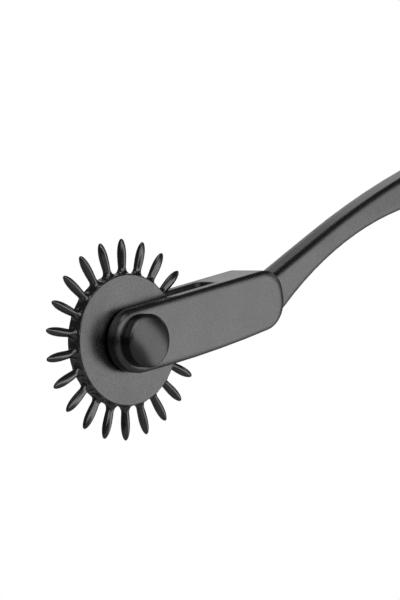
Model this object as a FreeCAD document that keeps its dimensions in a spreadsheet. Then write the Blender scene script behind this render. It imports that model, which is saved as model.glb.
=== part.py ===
import FreeCAD, Part
import math
import os
import Sketcher
from FreeCAD import Placement, Rotation, Vector

# A neurological pinwheel: 22 blunt pins set round a disc that spins on an axle in a forked handle.
# The origin is the wheel's centre. The axle lies along Y, the fork points along +X to the grip, +Z is up.

doc = FreeCAD.newDocument("Pinwheel")

# Driving dimensions in millimetres, degrees and counts, each with what it measures
SIZES = (
    ("rim_radius", 9.15, "axle to the flats round the rim"),
    ("pin_length", 4.85, "pin standing over the rim"),
    ("disc_width", 2.5, "disc across its two faces"),
    ("rim_edge", 0.18, "bevel along the rim"),
    ("hub_radius", 3.0, "low boss round the bore"),
    ("hub_width", 3.1, "disc across its two bosses"),
    ("bore_gap", 0.05, "running clearance round the axle, on the radius"),
    ("pin_count", 22, "pins round the rim"),
    ("pin_side_count", 12, "sides of a pin"),
    ("wheel_turn", 11.3, "lean of the first pin from upright, in degrees"),
    ("socket_depth", 3.0, "depth of a pin's socket in the rim"),
    ("foot_radius", 0.56, "pin at its foot, and its socket"),
    ("belly_radius", 0.64, "pin where it is thickest"),
    ("belly_drop", 2.2, "pin tip down to the thickest place"),
    ("root_radius", 1.05, "flared root where it meets the rim"),
    ("root_height", 0.85, "flared root above the rim"),
    ("axle_radius", 1.25, "axle shank, and its bores in the fork"),
    ("head_radius", 3.7, "axle head and cap"),
    ("head_side", 1.8, "straight side of the head"),
    ("head_dome", 0.35, "rise of the head's crown"),
    ("cap_grip", 1.2, "shank held in the cap"),
    ("arm_thickness", 2.05, "one arm of the fork"),
    ("arm_radius", 4.5, "round end of an arm"),
    ("side_gap", 0.1, "air between a boss and an arm"),
    ("tip_gap", 3.5, "air between the pin tips and the slot's end"),
    ("shoulder_length", 11.2, "solid block behind the slot"),
    ("block_fall_angle", 1.4, "slope of the block's top down to the neck, in degrees"),
    ("block_depth", 4.95, "axle to the deepest place of the block's underside"),
    ("block_deep_reach", 14.0, "axle to that place, along the block"),
    ("corner_radius", 3.5, "block's upper corner at its back end"),
    ("heel_radius", 4.3, "block's lower corner at its back end"),
    ("block_edge", 0.45, "rounding round the block's two faces"),
    ("saw_radius", 20.0, "curve of the slot's end"),
    ("bar_thickness", 3.8, "neck and grip from side to side"),
    ("bar_edge", 0.45, "rounding along the neck and grip"),
    ("bar_sink", 2.2, "neck's foot inside the block"),
    ("neck_top", 2.19, "neck's upper edge where it leaves the block, over the axle"),
    ("neck_climb_angle", 16.9, "slope of the neck's upper edge, in degrees"),
    ("neck_climb_length", 12.5, "straight part of that edge, measured along the handle"),
    ("neck_bend_radius", 168.0, "bend from the neck's upper edge to the grip's"),
    ("grip_climb_angle", 7.4, "slope where the grip's upper edge begins, in degrees"),
    ("neck_under", 3.0, "neck's lower edge where it leaves the block, below the axle"),
    ("hollow_start", 0.3, "block to the hollow under the neck"),
    ("hollow_radius", 3.0, "hollow under the neck"),
    ("under_climb_angle", 30.25, "steepest slope of the neck's lower edge, in degrees"),
    ("under_bend_radius", 62.0, "bend of the neck's lower edge"),
    ("grip_under_angle", 3.0, "slope of the grip's lower edge, in degrees"),
    ("handle_reach", 166.0, "axle to the butt"),
    ("butt_share", 0.45, "corner radius of the butt, as a share of the grip's height there"),
    ("junction_round", 0.5, "hollow rounding where neck meets block"),
    ("overrun", 1.0, "how far a cutter passes the metal"),
)

# A pin's root flares along a quarter of an ellipse, its end closes along most of another, and a head's
# crown falls as the square of the distance from its middle. These are the steps that each is drawn in.
ROOT_STEP_COUNT = 3
END_STEP_COUNT = 3
CROWN_STEP_COUNT = 2
END_SWEEP_ANGLE = 80

# Sizes that follow from the driving ones, written as the sheet reads them
TIP_RADIUS = "(Sizes.rim_radius + Sizes.pin_length)"
BORE_RADIUS = "(Sizes.axle_radius + Sizes.bore_gap)"
SLOT_HALF = "(Sizes.hub_width / 2 + Sizes.side_gap)"
BLOCK_HALF = f"({SLOT_HALF} + Sizes.arm_thickness)"
SLOT_END = f"({TIP_RADIUS} + Sizes.tip_gap)"
BLOCK_END = f"({SLOT_END} + Sizes.shoulder_length)"
BAR_FOOT = f"({BLOCK_END} - Sizes.bar_sink)"
SOCKET_FLOOR = "(Sizes.rim_radius - Sizes.socket_depth)"

LEVEL_AXIS_INDEX = -1
UPRIGHT_AXIS_INDEX = -2
START_INDEX = 1
END_INDEX = 2
CENTRE_INDEX = 3
TOUCH_TOLERANCE = 0.001
EDGE_SAMPLES = 5
FULL_TURN = 360
HALF_TURN = 180
QUARTER_TURN = 90
AXLE_DIRECTION = Vector(0, 1, 0)


def fill_sheet():
    sheet = doc.addObject("Spreadsheet::Sheet", "Sizes")
    for row, (name, value, meaning) in enumerate(SIZES, 1):
        sheet.set(f"A{row}", meaning)
        sheet.set(f"B{row}", str(value))
        sheet.setAlias(f"B{row}", name)
    doc.recompute()
    return sheet


sheet = fill_sheet()


def number(expression):
    """The present value of a sheet expression."""
    return float(sheet.evalExpression(expression))


def new_body(label):
    body = doc.addObject("PartDesign::Body", label)
    body.Label = label
    return body


def origin_feature(body, role):
    """One of the body's own origin planes or axes."""
    return [feature for feature in body.Origin.OriginFeatures if feature.Role == role][0]


def attach(item, body, role, lift=None):
    """Lays a sketch or a solid on an origin plane, raised along the plane's normal by lift."""
    item.AttachmentSupport = [(origin_feature(body, role), "")]
    item.MapMode = "FlatFace"
    if lift:
        item.setExpression("AttachmentOffset.Base.z", lift)


def new_sketch(body, name, role):
    sketch = body.newObject("Sketcher::SketchObject", name)
    attach(sketch, body, role)
    return sketch


def dimension(sketch, constraint, expression):
    """Adds a dimension to a sketch and binds it to the sheet."""
    index = sketch.addConstraint(constraint)
    sketch.setExpression(f"Constraints[{index}]", expression)


def tie(sketch, geometry, end, across, up):
    """Dimensions one point of a sketch from the sketch's origin."""
    ways = (("DistanceX", UPRIGHT_AXIS_INDEX, across), ("DistanceY", LEVEL_AXIS_INDEX, up))
    for kind, axis, expression in ways:
        value = number(expression)
        if value == 0:
            sketch.addConstraint(Sketcher.Constraint("PointOnObject", geometry, end, axis))
        else:
            constraint = Sketcher.Constraint(kind, LEVEL_AXIS_INDEX, START_INDEX, geometry, end, value)
            dimension(sketch, constraint, expression)


def line_to(across, up):
    """One step of an outline: a straight edge to this corner."""
    return (across, up, None, 0)


def arc_to(across, up, radius, turn=1):
    """One step of an outline: an arc to this corner, turning left for 1 and right for -1."""
    return (across, up, radius, turn)


def arc_between(start, end, radius, turn):
    chord = end - start
    rise = math.sqrt(max(radius ** 2 - (chord.Length / 2) ** 2, 0))
    left = Vector(-chord.y, chord.x, 0).normalize()
    centre = start + chord / 2 + left * rise * turn
    first, last = (start, end) if turn > 0 else (end, start)
    from_angle = math.atan2(first.y - centre.y, first.x - centre.x)
    to_angle = math.atan2(last.y - centre.y, last.x - centre.x)
    if to_angle <= from_angle:
        to_angle += 2 * math.pi
    return Part.ArcOfCircle(Part.Circle(centre, Vector(0, 0, 1), radius), from_angle, to_angle)


def draw_outline(sketch, steps):
    """A closed outline whose corners and radii are bound to the sheet."""
    corners = [Vector(number(across), number(up), 0) for across, up, radius, turn in steps]
    drawn = []
    for index, (across, up, radius, turn) in enumerate(steps):
        start, end = corners[index - 1], corners[index]
        if radius is None:
            drawn.append((sketch.addGeometry(Part.LineSegment(start, end), False), START_INDEX, END_INDEX))
        else:
            arc = sketch.addGeometry(arc_between(start, end, number(radius), turn), False)
            drawn.append((arc, START_INDEX, END_INDEX) if turn > 0 else (arc, END_INDEX, START_INDEX))
    for index, (across, up, radius, turn) in enumerate(steps):
        geometry, near, far = drawn[index]
        previous, previous_near, previous_far = drawn[index - 1]
        sketch.addConstraint(Sketcher.Constraint("Coincident", previous, previous_far, geometry, near))
        tie(sketch, geometry, far, across, up)
        if radius is not None:
            dimension(sketch, Sketcher.Constraint("Radius", geometry, number(radius)), radius)


def draw_circle(sketch, radius):
    """A circle about the sketch's origin."""
    circle = sketch.addGeometry(Part.Circle(Vector(0, 0, 0), Vector(0, 0, 1), number(radius)), False)
    middle = (circle, CENTRE_INDEX, LEVEL_AXIS_INDEX, START_INDEX)
    sketch.addConstraint(Sketcher.Constraint("Coincident", *middle))
    dimension(sketch, Sketcher.Constraint("Radius", circle, number(radius)), radius)


def pad(body, sketch, name, width):
    """Metal laid down equally on both sides of the sketch."""
    feature = body.newObject("PartDesign::Pad", name)
    feature.Profile = sketch
    feature.SideType = "Symmetric"
    feature.setExpression("Length", width)
    return feature


def pocket(body, sketch, name, width):
    """A cut taken equally on both sides of the sketch."""
    feature = body.newObject("PartDesign::Pocket", name)
    feature.Profile = sketch
    feature.SideType = "Symmetric"
    feature.setExpression("Length", width)
    return feature


def revolve(body, sketch, name):
    """The sketch turned once round its own upright axis."""
    feature = body.newObject("PartDesign::Revolution", name)
    feature.Profile = sketch
    feature.ReferenceAxis = (sketch, ["V_Axis"])
    feature.Angle = FULL_TURN
    return feature


def fillet(body, base, name, edges, radius):
    feature = body.newObject("PartDesign::Fillet", name)
    feature.Base = (base, edges)
    feature.setExpression("Radius", radius)
    return feature


def edge_names(feature, wanted):
    """Names of the feature's edges that pass the test."""
    doc.recompute()
    return [f"Edge{index}" for index, edge in enumerate(feature.Shape.Edges, 1) if wanted(edge)]


def offsets_from(edge, half_width):
    """How far an edge's points lie from the planes at half_width on both sides of the middle."""
    return [abs(abs(point.y) - half_width) for point in edge.discretize(EDGE_SAMPLES)]


def lies_on_side(edge, half_width):
    return max(offsets_from(edge, half_width)) < TOUCH_TOLERANCE


def make_handle():
    """Fork block, neck and grip in one casting, with the slot and the axle's bores cut in it."""
    body = new_body("handle")
    block = draw_block(body)
    draw_bar(body, block)
    slot = new_sketch(body, "slot_side", "XZ_Plane")
    reach = "(Sizes.block_depth + Sizes.overrun)"
    corner = f"({SLOT_END} - Sizes.saw_radius + sqrt(Sizes.saw_radius ^ 2 - {reach} ^ 2))"
    draw_outline(slot, (
        line_to(f"-{reach}", reach),
        line_to(f"-{reach}", f"-{reach}"),
        line_to(corner, f"-{reach}"),
        arc_to(corner, reach, "Sizes.saw_radius"),
    ))
    pocket(body, slot, "slot", f"2 * {SLOT_HALF}")
    bore = new_sketch(body, "axle_bore_outline", "XZ_Plane")
    draw_circle(bore, "Sizes.axle_radius")
    pocket(body, bore, "axle_bore", f"2 * ({BLOCK_HALF} + Sizes.overrun)")
    return body


def draw_block(body):
    """The fork's block: round front, falling top, bellied underside and rounded back corners."""
    outline = new_sketch(body, "block_outline", "XZ_Plane")
    fall = "Sizes.block_fall_angle"
    corner_x = f"({BLOCK_END} - Sizes.corner_radius)"
    drop = f"({corner_x} * tan({fall}))"
    top_z = f"((Sizes.arm_radius - Sizes.corner_radius) / cos({fall}) - {drop})"
    deep_x = "Sizes.block_deep_reach"
    deep_z = "Sizes.block_depth"
    swell = f"({deep_x} ^ 2 + {deep_z} ^ 2 - Sizes.arm_radius ^ 2)"
    belly = f"({swell} / (2 * ({deep_z} - Sizes.arm_radius)))"
    belly_z = f"({belly} - {deep_z})"
    front = f"(Sizes.arm_radius / ({belly} - Sizes.arm_radius))"
    heel_x = f"({BLOCK_END} - Sizes.heel_radius)"
    inner = f"({belly} - Sizes.heel_radius)"
    along = f"({heel_x} - {deep_x})"
    under_z = f"({belly_z} - sqrt({inner} ^ 2 - {along} ^ 2))"
    draw_outline(outline, (
        line_to(f"Sizes.arm_radius * sin({fall})", f"Sizes.arm_radius * cos({fall})"),
        arc_to("-Sizes.arm_radius", "0", "Sizes.arm_radius"),
        arc_to(f"-{front} * {deep_x}", f"-{front} * {belly_z}", "Sizes.arm_radius"),
        arc_to(
            f"{heel_x} + Sizes.heel_radius * {along} / {inner}",
            f"{under_z} - Sizes.heel_radius * ({belly_z} - {under_z}) / {inner}",
            belly,
        ),
        arc_to(BLOCK_END, under_z, "Sizes.heel_radius"),
        line_to(BLOCK_END, top_z),
        arc_to(
            f"{corner_x} + Sizes.corner_radius * sin({fall})",
            f"{top_z} + Sizes.corner_radius * cos({fall})",
            "Sizes.corner_radius",
        ),
    ))
    block = pad(body, outline, "block", f"2 * {BLOCK_HALF}")
    half = number(BLOCK_HALF)
    rims = edge_names(block, lambda edge: lies_on_side(edge, half))
    return fillet(body, block, "block_edges", rims, "Sizes.block_edge")


def draw_bar(body, block):
    """Neck and grip: a flat bar of one thickness that climbs, narrows, then widens to the butt."""
    outline = new_sketch(body, "bar_outline", "XZ_Plane")
    crest, centre_z, corner = grip_shape()
    draw_outline(outline, lower_edge(corner) + upper_edge(crest, centre_z, corner))
    bar = pad(body, outline, "bar", "Sizes.bar_thickness")
    half, end = number("Sizes.bar_thickness / 2"), number(BLOCK_END)

    def runs_along(edge):
        return lies_on_side(edge, half) and edge.BoundBox.XMax > end + TOUCH_TOLERANCE

    rounded = fillet(body, bar, "bar_edges", edge_names(bar, runs_along), "Sizes.bar_edge")

    def meets_block(edge):
        box = edge.BoundBox
        inside = max(abs(box.YMin), abs(box.YMax)) < half + TOUCH_TOLERANCE
        return inside and box.XMax < end + TOUCH_TOLERANCE and box.XMin > number(SLOT_END)

    return fillet(body, rounded, "junction", edge_names(rounded, meets_block), "Sizes.junction_round")


def lower_bend():
    """Where the bend of the neck's lower edge begins, and where it runs into the grip."""
    climb, slope = "Sizes.under_climb_angle", "Sizes.grip_under_angle"
    start_x = f"({BLOCK_END} + Sizes.hollow_start + Sizes.hollow_radius * sin({climb}))"
    start_z = f"(Sizes.hollow_radius * (1 - cos({climb})) - Sizes.neck_under)"
    end_x = f"({start_x} + Sizes.under_bend_radius * (sin({climb}) - sin({slope})))"
    end_z = f"({start_z} + Sizes.under_bend_radius * (cos({slope}) - cos({climb})))"
    return start_x, start_z, end_x, end_z


def upper_bend():
    """Where the bend of the neck's upper edge begins, and where it runs into the grip."""
    climb, slope = "Sizes.neck_climb_angle", "Sizes.grip_climb_angle"
    start_x = f"({BLOCK_END} + Sizes.neck_climb_length)"
    start_z = f"(Sizes.neck_top + Sizes.neck_climb_length * tan({climb}))"
    end_x = f"({start_x} + Sizes.neck_bend_radius * (sin({climb}) - sin({slope})))"
    end_z = f"({start_z} + Sizes.neck_bend_radius * (cos({slope}) - cos({climb})))"
    return start_x, start_z, end_x, end_z


def grip_shape():
    """Radius of the arc that crests at the butt, its centre's height, and the butt's corner radius."""
    grip_x, grip_z = upper_bend()[2:]
    under_x, under_z = lower_bend()[2:]
    crest = f"((Sizes.handle_reach - {grip_x}) / sin(Sizes.grip_climb_angle))"
    centre_z = f"({grip_z} - {crest} * cos(Sizes.grip_climb_angle))"
    under_rise = f"((Sizes.handle_reach - {under_x}) * tan(Sizes.grip_under_angle))"
    corner = f"(Sizes.butt_share * ({centre_z} + {crest} - {under_z} - {under_rise}))"
    return crest, centre_z, corner


def lower_edge(corner):
    """From the foot in the block, through the hollow and the bend, to the butt's lower corner."""
    slope = "Sizes.grip_under_angle"
    bend_x, bend_z, grip_x, grip_z = lower_bend()
    butt_x = f"(Sizes.handle_reach - {corner} * (1 - sin({slope})))"
    butt_z = f"({grip_z} + ({butt_x} - {grip_x}) * tan({slope}))"
    return (
        line_to(BAR_FOOT, "-Sizes.neck_under"),
        line_to(f"({BLOCK_END} + Sizes.hollow_start)", "-Sizes.neck_under"),
        arc_to(bend_x, bend_z, "Sizes.hollow_radius"),
        arc_to(grip_x, grip_z, "Sizes.under_bend_radius", -1),
        line_to(butt_x, butt_z),
        arc_to("Sizes.handle_reach", f"{butt_z} + {corner} * cos({slope})", corner),
    )


def upper_edge(crest, centre_z, corner):
    """From the butt's upper corner back along the grip, round the bend and down to the foot."""
    bend_x, bend_z, grip_x, grip_z = upper_bend()
    inner = f"({crest} - {corner})"
    corner_z = f"sqrt({inner} ^ 2 - {corner} ^ 2)"
    spread = f"({crest} / {inner})"
    return (
        line_to("Sizes.handle_reach", f"{centre_z} + {corner_z}"),
        arc_to(f"Sizes.handle_reach - {corner} * {spread}", f"{centre_z} + {corner_z} * {spread}", corner),
        arc_to(grip_x, grip_z, crest),
        arc_to(bend_x, bend_z, "Sizes.neck_bend_radius"),
        line_to(BAR_FOOT, "Sizes.neck_top - Sizes.bar_sink * tan(Sizes.neck_climb_angle)"),
    )


def make_disc():
    """A disc with a flat milled for each pin, low bosses, the bore, and a socket in each flat."""
    body = new_body("wheel_disc")
    rim = body.newObject("PartDesign::AdditivePrism", "rim")
    attach(rim, body, "XZ_Plane", "-Sizes.disc_width / 2")
    rim.setExpression("AttachmentOffset.Rotation.Angle", f"{QUARTER_TURN} - {HALF_TURN} / Sizes.pin_count")
    rim.setExpression("Polygon", "Sizes.pin_count")
    rim.setExpression("Circumradius", f"Sizes.rim_radius / cos({HALF_TURN} / Sizes.pin_count)")
    rim.setExpression("Height", "Sizes.disc_width")
    half = number("Sizes.disc_width / 2")
    rims = edge_names(rim, lambda edge: lies_on_side(edge, half))
    bevel = body.newObject("PartDesign::Chamfer", "rim_bevel")
    bevel.Base = (rim, rims)
    bevel.setExpression("Size", "Sizes.rim_edge")
    boss = new_sketch(body, "boss_outline", "XZ_Plane")
    draw_circle(boss, "Sizes.hub_radius")
    pad(body, boss, "bosses", "Sizes.hub_width")
    bore = new_sketch(body, "bore_outline", "XZ_Plane")
    draw_circle(bore, BORE_RADIUS)
    pocket(body, bore, "bore", "Sizes.hub_width + 2 * Sizes.overrun")
    socket = body.newObject("PartDesign::SubtractivePrism", "socket")
    attach(socket, body, "XY_Plane", SOCKET_FLOOR)
    socket.setExpression("Polygon", "Sizes.pin_side_count")
    socket.setExpression("Circumradius", "Sizes.foot_radius")
    socket.setExpression("Height", "Sizes.socket_depth + Sizes.overrun")
    ring = body.newObject("PartDesign::PolarPattern", "sockets")
    ring.Originals = [socket]
    ring.Axis = (origin_feature(body, "Y_Axis"), [""])
    ring.Angle = FULL_TURN
    ring.setExpression("Occurrences", "Sizes.pin_count")
    body.Tip = ring
    turn_on_axle(body, 0)
    return body


def make_shank():
    """The part of a pin that fills its socket, shared by all pins."""
    shank = doc.addObject("Part::Prism", "pin_shank")
    shank.setExpression("Polygon", "Sizes.pin_side_count")
    shank.setExpression("Circumradius", "Sizes.foot_radius")
    shank.setExpression("Height", "Sizes.socket_depth")
    shank.setExpression("Placement.Base.z", SOCKET_FLOOR)
    return shank


def make_needle():
    """The part of a pin over the rim, shared by all pins: a flared root, a swelling and a blunt end."""
    sections = []
    flare = "(Sizes.root_radius - Sizes.foot_radius)"
    for step in range(ROOT_STEP_COUNT + 1):
        angle = math.radians(QUARTER_TURN * step / ROOT_STEP_COUNT)
        spread, rise = 1 - math.sin(angle), 1 - math.cos(angle)
        radius = f"Sizes.foot_radius + {flare} * {spread:.4f}"
        sections.append(needle_section(radius, f"Sizes.rim_radius + Sizes.root_height * {rise:.4f}"))
    for step in range(END_STEP_COUNT + 1):
        angle = math.radians(END_SWEEP_ANGLE * step / END_STEP_COUNT)
        drop = 1 - math.sin(angle) / math.sin(math.radians(END_SWEEP_ANGLE))
        radius = f"Sizes.belly_radius * {math.cos(angle):.4f}"
        sections.append(needle_section(radius, f"{TIP_RADIUS} - Sizes.belly_drop * {drop:.4f}"))
    needle = doc.addObject("Part::Loft", "pin_needle")
    needle.Sections = sections
    needle.Solid = True
    needle.Ruled = True
    needle.Linearize = True
    return needle


def needle_section(radius, height):
    section = doc.addObject("Part::RegularPolygon", "needle_section")
    section.setExpression("Polygon", "Sizes.pin_side_count")
    section.setExpression("Circumradius", radius)
    section.setExpression("Placement.Base.z", height)
    return section


def make_pin(place, shank, needle):
    """One pin, seated by its root on the rim's flat and by its shank in the socket."""
    pin = doc.addObject("Part::Fuse", f"pin_{place + 1:02d}")
    pin.Base = shank
    pin.Tool = needle
    turn_on_axle(pin, place)
    return pin


def turn_on_axle(piece, place):
    """Turns a piece of the wheel to its place in the ring of pins."""
    piece.Placement = Placement(Vector(0, 0, 0), Rotation(AXLE_DIRECTION, HALF_TURN))
    lean = f"Sizes.wheel_turn + {place} * {FULL_TURN} / Sizes.pin_count"
    piece.setExpression("Placement.Rotation.Angle", lean)


def crown_steps(base, side):
    """A head's low crown, from its rim to its flat middle. Side is -1 for the near head, 1 for the far."""
    steps = []
    for step in range(CROWN_STEP_COUNT, 0, -1):
        reach = step / CROWN_STEP_COUNT
        rise = (1 - reach ** 2) / (1 - 1 / CROWN_STEP_COUNT ** 2)
        height = f"{side} * ({base} + Sizes.head_dome * {rise:.4f})"
        steps.append(line_to(f"Sizes.head_radius * {reach:.4f}", height))
    return tuple(steps)


def make_axle():
    """The axle: a crowned head on the near arm and a shank through the fork into the cap."""
    body = new_body("axle_pin")
    section = new_sketch(body, "axle_section", "XY_Plane")
    side_end = f"({BLOCK_HALF} + Sizes.head_side)"
    draw_outline(section, (
        line_to("Sizes.axle_radius", f"{BLOCK_HALF} + Sizes.cap_grip"),
        line_to("0", f"{BLOCK_HALF} + Sizes.cap_grip"),
        line_to("0", f"-({side_end} + Sizes.head_dome)"),
        *reversed(crown_steps(side_end, -1)),
        line_to("Sizes.head_radius", f"-{BLOCK_HALF}"),
        line_to("Sizes.axle_radius", f"-{BLOCK_HALF}"),
    ))
    revolve(body, section, "axle")
    return body


def make_cap():
    """The matching head on the far arm, pressed on the end of the shank."""
    body = new_body("axle_cap")
    section = new_sketch(body, "cap_section", "XY_Plane")
    side_end = f"({BLOCK_HALF} + Sizes.head_side)"
    draw_outline(section, (
        line_to("0", f"{side_end} + Sizes.head_dome"),
        line_to("0", f"{BLOCK_HALF} + Sizes.cap_grip"),
        line_to("Sizes.axle_radius", f"{BLOCK_HALF} + Sizes.cap_grip"),
        line_to("Sizes.axle_radius", BLOCK_HALF),
        line_to("Sizes.head_radius", BLOCK_HALF),
        *crown_steps(side_end, 1),
    ))
    revolve(body, section, "cap")
    return body


def check_objects():
    """Stops on any object that failed, or on a piece that isn't one sound solid."""
    for item in doc.Objects:
        failed = [state for state in item.State if state in ("Invalid", "Error")]
        if failed:
            raise RuntimeError(f"{item.Name} in {item.Label}: {failed}")
    for piece in pieces:
        if piece.Shape.isNull() or not piece.Shape.isValid() or len(piece.Shape.Solids) != 1:
            raise RuntimeError(f"{piece.Label} isn't one sound solid")


pieces = [make_handle(), make_disc()]
shank, needle = make_shank(), make_needle()
pieces += [make_pin(place, shank, needle) for place in range(round(number("Sizes.pin_count")))]
pieces += [make_axle(), make_cap()]
doc.recompute()
check_objects()

os.makedirs("parts", exist_ok=True)
for piece in pieces:
    piece.Shape.exportStep(os.path.join("parts", f"{piece.Label}.step"))
    print(piece.Label, round(piece.Shape.Volume, 2))
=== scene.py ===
# %% [markdown]
# # Dressing a neurological pinwheel
# The instrument is a hand-held wheel of blunt pins that a physician rolls over the skin to test feeling.
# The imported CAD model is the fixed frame: it says where every piece is and what turns. This script lays a
# finely modelled, satin dark-metal surface over it, lights it softly and sets the camera.

# %% Load the frame
import bpy
import math
from mathutils import Matrix, Vector


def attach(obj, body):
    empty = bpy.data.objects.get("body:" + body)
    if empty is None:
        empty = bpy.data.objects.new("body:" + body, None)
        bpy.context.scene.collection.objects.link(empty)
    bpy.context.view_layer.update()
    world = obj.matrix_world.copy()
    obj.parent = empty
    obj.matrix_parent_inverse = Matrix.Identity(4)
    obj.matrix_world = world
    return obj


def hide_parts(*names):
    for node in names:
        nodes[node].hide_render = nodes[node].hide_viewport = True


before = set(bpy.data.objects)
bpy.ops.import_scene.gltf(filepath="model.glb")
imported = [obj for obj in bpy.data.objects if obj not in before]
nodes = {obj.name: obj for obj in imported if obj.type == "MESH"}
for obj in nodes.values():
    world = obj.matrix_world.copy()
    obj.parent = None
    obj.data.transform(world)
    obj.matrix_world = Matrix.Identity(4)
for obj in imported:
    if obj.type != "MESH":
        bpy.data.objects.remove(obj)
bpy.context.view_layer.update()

# %% [markdown]
# ## Units and operators
# Blender works in metres and the instrument is measured in millimetres, so every size below is written in
# millimetres and multiplied once, where geometry is made. An operator acts on whatever is selected, and the
# loaded nodes are selected, so each piece starts by deselecting everything.

# %% Small helpers for operators
MM = 0.001
# Vertices nearer to each other than this, in millimetres, are one vertex.
MERGE = 0.0005


def deselect_all():
    bpy.ops.object.select_all(action="DESELECT")


def edit(piece):
    """Goes into edit mode on one piece, with all of its mesh selected."""
    deselect_all()
    piece.select_set(True)
    bpy.context.view_layer.objects.active = piece
    bpy.ops.object.mode_set(mode="EDIT")
    bpy.ops.mesh.select_all(action="SELECT")


def leave_edit():
    bpy.ops.object.mode_set(mode="OBJECT")


def triangles(piece):
    return sum(len(face.vertices) - 2 for face in piece.data.polygons)


# %% [markdown]
# ## Turned pieces
# The disc, the pins and the axle's heads are all turned shapes. Each could be a cylinder with bevels, but a
# lathe works from a profile, and so does Blender's spin: a single vertex is extruded from point to point along
# half of the section, and the profile is then spun once round its axis. Rounded stretches are arcs of points.

# %% Trace a profile and spin it
def arc(centre, radius, start, end, steps):
    """Points of an arc in the profile's plane, angles in degrees from the first axis."""
    angles = [math.radians(start + (end - start) * step / steps) for step in range(steps + 1)]
    return [(centre[0] + radius * math.cos(a), centre[1] + radius * math.sin(a)) for a in angles]


def trace(name, points):
    """A chain of vertices through the points, in the plane of X and Z."""
    deselect_all()
    bpy.ops.mesh.primitive_plane_add(size=MM)
    piece = bpy.context.object
    piece.name = piece.data.name = name
    edit(piece)
    bpy.ops.mesh.merge(type="CENTER")
    here = Vector((0, 0, 0))
    for index, (across, up) in enumerate(points):
        there = Vector((across, 0, up)) * MM
        if index:
            bpy.ops.mesh.extrude_vertices_move(TRANSFORM_OT_translate={"value": there - here})
        else:
            bpy.ops.transform.translate(value=there)
        here = there
    return piece


def turn(name, points, steps):
    """Spins a profile of (radius, height) points round Z and closes the shape."""
    piece = trace(name, points)
    bpy.ops.mesh.select_all(action="SELECT")
    bpy.ops.mesh.spin(steps=steps, angle=math.tau, center=(0, 0, 0), axis=(0, 0, 1))
    bpy.ops.mesh.select_all(action="SELECT")
    bpy.ops.mesh.remove_doubles(threshold=MERGE * MM)
    bpy.ops.mesh.normals_make_consistent(inside=False)
    leave_edit()
    return piece


def lay_in_mesh(piece, matrix):
    """Moves the mesh itself, so that the object stays at the origin."""
    piece.data.transform(matrix)
    piece.data.update()


def smooth(piece, angle):
    """Soft shading across the curves, with the flats kept flat and the real corners kept sharp."""
    deselect_all()
    piece.select_set(True)
    bpy.context.view_layer.objects.active = piece
    bpy.ops.object.shade_smooth_by_angle(angle=math.radians(angle))
    piece.modifiers.new("flats", "WEIGHTED_NORMAL").keep_sharp = True
    bpy.ops.object.modifier_apply(modifier="flats")


# The axle runs along Y. These turns bring a shape from the lathe's Z to the near side and to the far side.
ALONG_Y = Matrix.Rotation(math.radians(90), 4, "X")
ALONG_Y_FAR = Matrix.Rotation(math.radians(-90), 4, "X")

# %% [markdown]
# ## The disc
# The disc is a turned steel plate with a low boss round its bore. Its rim is slightly rounded, which gives the
# thin dark line round the face. The profile runs from the rim in over the face and the boss to the bore, and
# a mirrored half closes it.

# %% Turn the disc
RIM_RADIUS = 9.15
DISC_HALF = 1.25
HUB_RADIUS = 3.0
HUB_HALF = 1.55
BORE_RADIUS = 1.3
RIM_ROUND = 0.22
HUB_ROUND = 0.1
DISC_STEPS = 176
TURNED_CORNER = 35


def disc_side():
    """Half of the disc's section, from the middle of the rim to the bore."""
    rim = arc((RIM_RADIUS - RIM_ROUND, DISC_HALF - RIM_ROUND), RIM_ROUND, 0, 90, 5)
    hollow = arc((HUB_RADIUS + HUB_ROUND, DISC_HALF + HUB_ROUND), HUB_ROUND, 270, 180, 3)
    lip = arc((HUB_RADIUS - HUB_ROUND, HUB_HALF - HUB_ROUND), HUB_ROUND, 0, 90, 3)
    return rim + hollow + lip + [(BORE_RADIUS, HUB_HALF)]


upper = disc_side()
lower = [(radius, -height) for radius, height in reversed(upper)]
disc = turn("wheel_disc_turned", upper + lower + upper[:1], DISC_STEPS)
lay_in_mesh(disc, ALONG_Y)
smooth(disc, TURNED_CORNER)
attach(disc, "wheel")
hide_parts("wheel_disc")
print("disc triangles:", triangles(disc))

# %% [markdown]
# ## The pins
# Twenty-two pins stand round the rim. Each flares at its root where it runs into the rim, is narrowest just
# above, swells towards its end and closes in a blunt nose. One pin is turned and copied, and each copy gets
# its own mesh, turned to its place with the same angle as the CAD pin that it stands for.

# %% Turn one pin
TIP_RADIUS = 14.0
FOOT_RADIUS = 0.56
ROOT_RADIUS = 1.2
ROOT_HEIGHT = 0.95
BELLY_RADIUS = 0.64
BELLY_DROP = 2.2
ROOT_SINK = 0.25
ROOT_POINTS = 8
SWELL_POINTS = 6
NOSE_POINTS = 12
PIN_STEPS = 28
PIN_CORNER = 50


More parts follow.
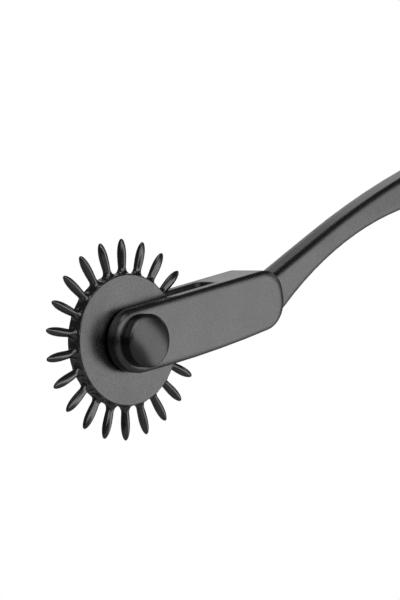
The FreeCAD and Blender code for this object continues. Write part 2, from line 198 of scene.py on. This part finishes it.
def pin_profile():
    """Half of a pin's section, from under the rim's surface to the tip."""
    root = []
    for step in range(ROOT_POINTS + 1):
        angle = math.radians(90 * step / ROOT_POINTS)
        spread, rise = 1 - math.sin(angle), 1 - math.cos(angle)
        radius = FOOT_RADIUS + (ROOT_RADIUS - FOOT_RADIUS) * spread
        root.append((radius, RIM_RADIUS + ROOT_HEIGHT * rise))
    foot, belly = RIM_RADIUS + ROOT_HEIGHT, TIP_RADIUS - BELLY_DROP
    swell = []
    for step in range(1, SWELL_POINTS):
        share = step / SWELL_POINTS
        bulge = math.sin(math.radians(90 * share))
        radius = FOOT_RADIUS + (BELLY_RADIUS - FOOT_RADIUS) * bulge
        swell.append((radius, foot + (belly - foot) * share))
    nose = []
    for step in range(NOSE_POINTS + 1):
        angle = math.radians(90 * step / NOSE_POINTS)
        nose.append((BELLY_RADIUS * math.cos(angle), belly + BELLY_DROP * math.sin(angle)))
    start = [(0, RIM_RADIUS - ROOT_SINK), (ROOT_RADIUS, RIM_RADIUS - ROOT_SINK)]
    return start + root + swell + nose


model_pin = turn("model_pin", pin_profile(), PIN_STEPS)
smooth(model_pin, PIN_CORNER)
print("pin triangles:", triangles(model_pin))

# %% Copy the pin round the rim
PIN_COUNT = 22
FIRST_LEAN = 11.3

pins = {}
for number in range(1, PIN_COUNT + 1):
    pin = model_pin.copy()
    pin.data = model_pin.data.copy()
    pin.name = pin.data.name = f"pin_turned_{number:02d}"
    bpy.context.scene.collection.objects.link(pin)
    lean = FIRST_LEAN + 360 * (number - 1) / PIN_COUNT
    lay_in_mesh(pin, Matrix.Rotation(math.radians(lean), 4, "Y"))
    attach(pin, "wheel")
    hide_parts(f"pin_{number:02d}")
    pins[f"pin_{number:02d}"] = pin
bpy.data.objects.remove(model_pin)
print("pins placed:", len(pins))

# %% [markdown]
# ## The axle
# The axle has a broad crowned head against the near arm and a matching cap on the far one. Each could be a
# squashed sphere on a cylinder, but a lathe profile gives the crown its true arc, and keeps the edge between
# crown and side barely rounded, as it is in the photograph.

# %% Turn the axle and its cap
ARM_FACE = 3.7
HEAD_RADIUS = 3.7
HEAD_SIDE = 1.75
HEAD_DOME = 0.4
HEAD_EDGE = 0.12
SHANK_RADIUS = 1.25
CAP_GRIP = 1.2
CROWN_POINTS = 14
HEAD_STEPS = 128


def head_profile():
    """A head's section from its seat on the arm, up the side and over the crown to the middle."""
    top = ARM_FACE + HEAD_SIDE
    crown = (HEAD_RADIUS ** 2 + HEAD_DOME ** 2) / (2 * HEAD_DOME)
    centre = top + HEAD_DOME - crown
    edge = math.degrees(math.asin((HEAD_RADIUS - HEAD_EDGE) / crown))
    side = [(HEAD_RADIUS, ARM_FACE), (HEAD_RADIUS, top - HEAD_EDGE)]
    corner = arc((HEAD_RADIUS - HEAD_EDGE, top - HEAD_EDGE), HEAD_EDGE, 0, 90 - edge, 4)[1:]
    dome = arc((0, centre), crown, 90 - edge, 90, CROWN_POINTS)
    return side + corner + [(radius, min(height, top + HEAD_DOME)) for radius, height in dome[1:]]


shank_end = -ARM_FACE - CAP_GRIP
shank = [(0, shank_end), (SHANK_RADIUS, shank_end), (SHANK_RADIUS, ARM_FACE)]
axle = turn("axle_turned", shank + head_profile(), HEAD_STEPS)
lay_in_mesh(axle, ALONG_Y)
cap = turn("axle_cap_turned", [(0, ARM_FACE)] + head_profile(), HEAD_STEPS)
lay_in_mesh(cap, ALONG_Y_FAR)
for piece, node in ((axle, "axle_pin"), (cap, "axle_cap")):
    smooth(piece, TURNED_CORNER)
    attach(piece, "handle")
    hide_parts(node)
    print(piece.name, "triangles:", triangles(piece))

# %% [markdown]
# ## The handle
# Fork, neck and grip are one smooth casting. Its shape is already right in the CAD, fillets and all, so a copy
# of that mesh is joined up, its flats are made whole, its sharp corners get the fine bevel that polishing
# leaves, and its shading is softened across the curves.

# %% Refine a copy of the CAD casting
# Faces within this many degrees of each other are one flat, and edges sharper than this are polished round.
FLAT_WITHIN = 0.4
POLISH_FROM = 50
POLISH_WIDTH = 0.12
CAST_CORNER = 40


def copy_of_node(node, name):
    piece = bpy.data.objects.new(name, nodes[node].data.copy())
    piece.data.materials.clear()
    bpy.context.scene.collection.objects.link(piece)
    return piece


casting = copy_of_node("handle", "handle_casting")
edit(casting)
bpy.ops.mesh.remove_doubles(threshold=MERGE * MM)
bpy.ops.mesh.select_all(action="SELECT")
bpy.ops.mesh.dissolve_limited(angle_limit=math.radians(FLAT_WITHIN))
leave_edit()
bevel = casting.modifiers.new("polish", "BEVEL")
bevel.width = POLISH_WIDTH * MM
bevel.segments = 2
bevel.limit_method = "ANGLE"
bevel.angle_limit = math.radians(POLISH_FROM)
bpy.context.view_layer.objects.active = casting
bpy.ops.object.modifier_apply(modifier="polish")
smooth(casting, CAST_CORNER)
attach(casting, "handle")
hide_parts("handle")
print("casting triangles:", triangles(casting))

# %% [markdown]
# ## Finish
# Everything is plated in black nickel and left satin: a metal that reflects softly and darkly, so a face
# takes the tone of whatever it mirrors. Colour codes are sRGB as a picture editor shows them, and one function
# turns them to linear light.

# %% Colours and nodes
def linear(code):
    """An sRGB hex colour as linear red, green, blue and alpha."""
    channels = [int(code[place:place + 2], 16) / 255 for place in (1, 3, 5)]
    return tuple(((c + 0.055) / 1.055) ** 2.4 if c > 0.04045 else c / 12.92 for c in channels) + (1.0,)


def add_node(tree, kind, settings, links=()):
    """Adds a node, sets its properties or sockets by name or number, and links (socket, source) pairs."""
    node = tree.nodes.new(kind)
    for name, value in settings.items():
        if isinstance(name, int):
            node.inputs[name].default_value = value
        elif hasattr(node, name):
            setattr(node, name, value)
        else:
            node.inputs[name].default_value = value
    for socket, source in links:
        tree.links.new(source, node.inputs[socket])
    return node


# %% [markdown]
# The real finish is black nickel plated over steel that was blasted or polished first. A flat dark grey would
# look like paint, so the gloss, the tone and the surface itself all vary. Fine grains of about a quarter of a
# millimetre break up the reflections, and slow clouds of five millimetres shift the gloss a little. Real grit
# marks are nearer to a twentieth of a millimetre, but the grains are drawn as coarse as they must be to show.
# Plating also rolls over every corner, so a Bevel node bends the light round the edges over a real distance.

# %% Black nickel
CLOUD_MM = 5
MARK_DEPTH_MM = 0.02
# A noise stays mostly between these two values, so tone and gloss are spread over that range.
NOISE_LOW, NOISE_HIGH = 0.3, 0.7
GRAIN_SHARE = 0.35


def black_nickel(name, dark, light, grain_mm, roughness, bump, edge_mm):
    """Black-nickel plating: a dark metal with a fine grain, an uneven gloss and rolled edges."""
    material = bpy.data.materials.new(name)
    material.use_nodes = True
    tree = material.node_tree
    tree.nodes.clear()
    place = [("Vector", add_node(tree, "ShaderNodeTexCoord", {}).outputs["Object"])]
    fine = {"Scale": 1 / (grain_mm * MM), "Detail": 3.0}
    grain = add_node(tree, "ShaderNodeTexNoise", fine, place).outputs["Fac"]
    slow = {"Scale": 1 / (CLOUD_MM * MM), "Detail": 2.0}
    clouds = add_node(tree, "ShaderNodeTexNoise", slow, place).outputs["Fac"]
    colour = add_node(tree, "ShaderNodeValToRGB", {}, [("Fac", grain)])
    for stop, at, code in zip(colour.color_ramp.elements, (NOISE_LOW, NOISE_HIGH), (dark, light)):
        stop.position, stop.color = at, linear(code)
    blend = {"data_type": "FLOAT", "Factor": GRAIN_SHARE}
    mixed = add_node(tree, "ShaderNodeMix", blend, [("A", clouds), ("B", grain)])
    span = {"From Min": NOISE_LOW, "From Max": NOISE_HIGH, "To Min": roughness[0], "To Max": roughness[1]}
    gloss = add_node(tree, "ShaderNodeMapRange", span, [("Value", mixed.outputs["Result"])])
    edge = add_node(tree, "ShaderNodeBevel", {"samples": 12, "Radius": edge_mm * MM}).outputs["Normal"]
    relief = {"Strength": bump, "Distance": MARK_DEPTH_MM * MM}
    height = add_node(tree, "ShaderNodeBump", relief, [("Height", grain), ("Normal", edge)])
    links = [("Base Color", colour.outputs["Color"]), ("Roughness", gloss.outputs["Result"])]
    links.append(("Normal", height.outputs["Normal"]))
    shader = add_node(tree, "ShaderNodeBsdfPrincipled", {"Metallic": 1.0}, links)
    add_node(tree, "ShaderNodeOutputMaterial", {}, [("Surface", shader.outputs["BSDF"])])
    return material


# %% [markdown]
# Four finishes share the plating and differ in how the steel under it was made. Colours are the tone of plain
# black nickel that mirrors something white, and the gloss runs from a smooth patch to a rough one.

# %% Mix the four finishes
finishes = {}
# Black nickel on a cast and belt-polished handle: an even, silky grey with broad dark lines along its edges.
finishes["handle_metal"] = black_nickel(
    "black_nickel_on_polished_casting", "#737373", "#858585", 0.22, (0.18, 0.26), 0.18, 1.3)
# Black nickel on a turned and bead-blasted disc: the same grey with a visible grain and a wider sheen.
finishes["disc_metal"] = black_nickel(
    "black_nickel_on_blasted_disc", "#747474", "#888888", 0.26, (0.24, 0.32), 0.22, 0.1)
# Black nickel on tumbled pins: glossier, so each pin shows one light stripe between two dark ones.
finishes["pin_metal"] = black_nickel(
    "black_nickel_on_tumbled_pins", "#727272", "#868686", 0.2, (0.16, 0.23), 0.10, 0.1)
# Black nickel on a turned and buffed axle: a little darker, with a soft change of tone across the crown.
finishes["axle_metal"] = black_nickel(
    "black_nickel_on_turned_axle", "#5e5e5e", "#6c6c6c", 0.2, (0.14, 0.20), 0.10, 0.12)
print("finishes:", sorted(finishes))

# %% [markdown]
# ## Dressing
# Every piece gets the finish of the part that it stands for. The CAD nodes underneath get the same finishes,
# so that the model looks right in whichever form it is shown.

# %% Dress every piece
def dress(piece, finish):
    piece.data.materials.clear()
    piece.data.materials.append(finish)


def finish_of(node):
    """The finish that belongs to a CAD node, by its name."""
    kinds = {"handle": "handle_metal", "wheel_disc": "disc_metal"}
    kinds.update({"axle_pin": "axle_metal", "axle_cap": "axle_metal"})
    return finishes[kinds.get(node, "pin_metal")]


pieces = {"wheel_disc": disc, "handle": casting, "axle_pin": axle, "axle_cap": cap, **pins}
for name, piece in [*pieces.items(), *nodes.items()]:
    dress(piece, finish_of(name))
print("dressed:", len(pieces), "pieces and", len(nodes), "nodes")

# %% [markdown]
# ## Floor and surround
# Dark metal is lit by what it mirrors. In the photograph the flat faces mirror a band of white that runs from
# low on the camera's right, past the camera, to its left, and the edges mirror a dim room. A background white
# all round would turn every face the same grey, so it is white to the camera, and white to the metal inside
# that band only. The floor is a pale sheet a hand's length below, and it keeps the instrument's shadow.

# %% Choose where the metal sees white
FLOOR_HEIGHT = -150.0


def towards(azimuth, elevation):
    """A direction from the wheel, by two angles in degrees."""
    azimuth, elevation = math.radians(azimuth), math.radians(elevation)
    flat = math.cos(elevation)
    return Vector((flat * math.cos(azimuth), flat * math.sin(azimuth), math.sin(elevation)))


LOW_END, HIGH_END = towards(-34, -25), towards(-60, 2)
MIDDLE = (LOW_END + HIGH_END).normalized()
ACROSS = LOW_END.cross(HIGH_END).normalized()
# The band is white this many degrees along from its middle, and gone at the second number.
WHITE_ALONG, GONE_ALONG = 22, 42
# Across, it is white to the first sine from its middle line, and gone at the second.
WHITE_ASIDE, GONE_ASIDE = 0.12, 0.24


def white_band(tree, direction):
    """Nodes that give one inside the white band and zero outside, for a socket that holds a direction."""
    dot = {"operation": "DOT_PRODUCT", 1: MIDDLE}
    along = add_node(tree, "ShaderNodeVectorMath", dot, [(0, direction)])
    span = {"From Min": math.cos(math.radians(GONE_ALONG)), "From Max": math.cos(math.radians(WHITE_ALONG))}
    ends = add_node(tree, "ShaderNodeMapRange", span, [("Value", along.outputs["Value"])])
    dot = {"operation": "DOT_PRODUCT", 1: ACROSS}
    across = add_node(tree, "ShaderNodeVectorMath", dot, [(0, direction)])
    aside = add_node(tree, "ShaderNodeMath", {"operation": "ABSOLUTE"}, [(0, across.outputs["Value"])])
    span = {"From Min": GONE_ASIDE, "From Max": WHITE_ASIDE, "interpolation_type": "SMOOTHSTEP"}
    sides = add_node(tree, "ShaderNodeMapRange", span, [("Value", aside.outputs["Value"])])
    links = [(0, ends.outputs["Result"]), (1, sides.outputs["Result"])]
    return add_node(tree, "ShaderNodeMath", {"operation": "MULTIPLY"}, links).outputs["Value"]


def white_where_seen(tree, direction, share=None):
    """Nodes that give one to mirrors and glass inside the band, and one, or the share, to the camera."""
    path = add_node(tree, "ShaderNodeLightPath", {}).outputs
    camera = path["Is Camera Ray"]
    if share is not None:
        times = {"operation": "MULTIPLY"}
        camera = add_node(tree, "ShaderNodeMath", times, [(0, camera), (1, share)]).outputs["Value"]
    rays = [(0, path["Is Glossy Ray"]), (1, path["Is Transmission Ray"])]
    mirrored = add_node(tree, "ShaderNodeMath", {"operation": "MAXIMUM"}, rays).outputs["Value"]
    links = [(0, mirrored), (1, white_band(tree, direction)), (2, camera)]
    return add_node(tree, "ShaderNodeMath", {"operation": "MULTIPLY_ADD"}, links).outputs["Value"]


print("middle of the white band:", [round(part, 2) for part in MIDDLE])

# %% Lay the floor
FLOOR_SIZE = 12.0
# The camera sees the paper's own tone and shadow a little near the instrument, and plain white farther off.
SHADED_TO, WHITE_FROM, LEAST_WHITE = 0.12, 0.33, 0.8

deselect_all()
bpy.ops.mesh.primitive_plane_add(size=FLOOR_SIZE, location=(0, 0, FLOOR_HEIGHT * MM))
floor = bpy.context.object
floor.name = "floor_sheet"

sheet = bpy.data.materials.new("pale_sheet")
sheet.use_nodes = True
tree = sheet.node_tree
tree.nodes.clear()
spot = add_node(tree, "ShaderNodeTexCoord", {}).outputs["Object"]
reach = add_node(tree, "ShaderNodeVectorMath", {"operation": "LENGTH"}, [(0, spot)])
span = {"From Min": SHADED_TO, "From Max": WHITE_FROM, "To Min": LEAST_WHITE}
span["interpolation_type"] = "SMOOTHSTEP"
beyond = add_node(tree, "ShaderNodeMapRange", span, [("Value", reach.outputs["Value"])])
down = {"operation": "ADD", 1: (0, 0, FLOOR_HEIGHT * MM)}
toward = add_node(tree, "ShaderNodeVectorMath", down, [(0, spot)])
links = [(0, toward.outputs["Vector"])]
toward = add_node(tree, "ShaderNodeVectorMath", {"operation": "NORMALIZE"}, links)
lift = white_where_seen(tree, toward.outputs["Vector"], beyond.outputs["Result"])
paper = add_node(tree, "ShaderNodeBsdfDiffuse", {"Color": linear("#dadada")})
glow = add_node(tree, "ShaderNodeEmission", {"Strength": 1.0})
links = [(0, lift), (1, paper.outputs["BSDF"]), (2, glow.outputs["Emission"])]
both = add_node(tree, "ShaderNodeMixShader", {}, links)
add_node(tree, "ShaderNodeOutputMaterial", {}, [("Surface", both.outputs["Shader"])])
floor.data.materials.append(sheet)
print("floor at", FLOOR_HEIGHT, "mm, nodes in its material:", len(tree.nodes))

# %% Set the surround
world = bpy.data.worlds.new("studio")
bpy.context.scene.world = world
world.use_nodes = True
tree = world.node_tree
tree.nodes.clear()
direction = add_node(tree, "ShaderNodeTexCoord", {}).outputs["Generated"]
shown = white_where_seen(tree, direction)
room = add_node(tree, "ShaderNodeBackground", {"Color": linear("#3e3e3e"), "Strength": 1.0})
backdrop = add_node(tree, "ShaderNodeBackground", {"Color": linear("#ffffff"), "Strength": 1.0})
links = [(0, shown), (1, room.outputs["Background"]), (2, backdrop.outputs["Background"])]
mixed = add_node(tree, "ShaderNodeMixShader", {}, links)
add_node(tree, "ShaderNodeOutputWorld", {}, [("Surface", mixed.outputs["Shader"])])
bpy.context.scene.view_settings.view_transform = "Standard"
print("nodes in the surround:", len(tree.nodes))

# %% [markdown]
# ## Lamps
# Softboxes stand round the instrument. Two on the left shape the round pins, a narrow one on the right draws
# a thin stripe along them, one behind lies on the top faces of fork and neck, and one hangs overhead. The gaps
# between them stay dim, and there every rounded edge draws a dark line. A softbox of brightness one looks as
# white as paper to the metal.

# %% Place the softboxes
LAMP_DISTANCE = 2.5


def softbox(name, azimuth, elevation, width, height, brightness):
    """An area lamp in a direction from the wheel, facing it. Angles in degrees, sizes in metres."""
    data = bpy.data.lights.new(name, "AREA")
    data.shape = "RECTANGLE"
    data.size, data.size_y = width, height
    data.energy = brightness * math.pi * width * height
    lamp = bpy.data.objects.new(name, data)
    bpy.context.scene.collection.objects.link(lamp)
    lamp.location = towards(azimuth, elevation) * LAMP_DISTANCE
    lamp.rotation_euler = lamp.location.to_track_quat("Z", "Y").to_euler()
    lamp.visible_camera = False
    place = [round(part, 2) for part in lamp.location]
    print(name, "at", place, "power", round(data.energy, 2), "W")


# Name, azimuth, elevation, width, height and brightness.
SOFTBOXES = (
    ("softbox_side", -80, 17, 1.4, 0.9, 0.6),
    ("softbox_left", -112, 41, 2.6, 1.7, 0.7),
    ("softbox_right", -18, 8, 0.5, 0.8, 0.9),
    ("softbox_back", 48, 17, 1.6, 1.3, 0.55),
    ("softbox_above", 110, 80, 1.1, 1.1, 0.8),
)
for row in SOFTBOXES:
    softbox(*row)

# %% [markdown]
# ## Camera
# The photograph looks down on the wheel from its left, with the handle running away to the right. The angles,
# distance and field come from fitting the outline of the wheel and the fork in the photograph.

# %% Set the camera
AZIMUTH = -42.734
ELEVATION = 9.892
ROLL = -9.481
DISTANCE = 320.0
FOCAL_PIXELS = 2312.5
WHEEL_PIXEL = (123.506, 339.79)
PICTURE = (400, 600)
SENSOR = 36

turned = Matrix.Rotation(math.radians(AZIMUTH), 3, "Z")
turned = turned @ Matrix.Rotation(math.radians(90 - ELEVATION), 3, "X")
turned = turned @ Matrix.Rotation(math.radians(ROLL), 3, "Z")
aside = (WHEEL_PIXEL[0] - PICTURE[0] / 2) * DISTANCE / FOCAL_PIXELS
below = (WHEEL_PIXEL[1] - PICTURE[1] / 2) * DISTANCE / FOCAL_PIXELS
stand = turned @ Vector((-aside, below, DISTANCE)) * MM
lens = bpy.data.cameras.new("portrait")
lens.sensor_width = SENSOR
lens.lens = FOCAL_PIXELS * SENSOR / max(PICTURE)
lens.clip_start, lens.clip_end = 0.01, 10
camera = bpy.data.objects.new("portrait", lens)
camera.matrix_world = Matrix.Translation(stand) @ turned.to_4x4()
bpy.context.scene.collection.objects.link(camera)
bpy.context.scene.camera = camera
print("camera at", [round(part, 4) for part in stand], "lens", round(lens.lens, 2))
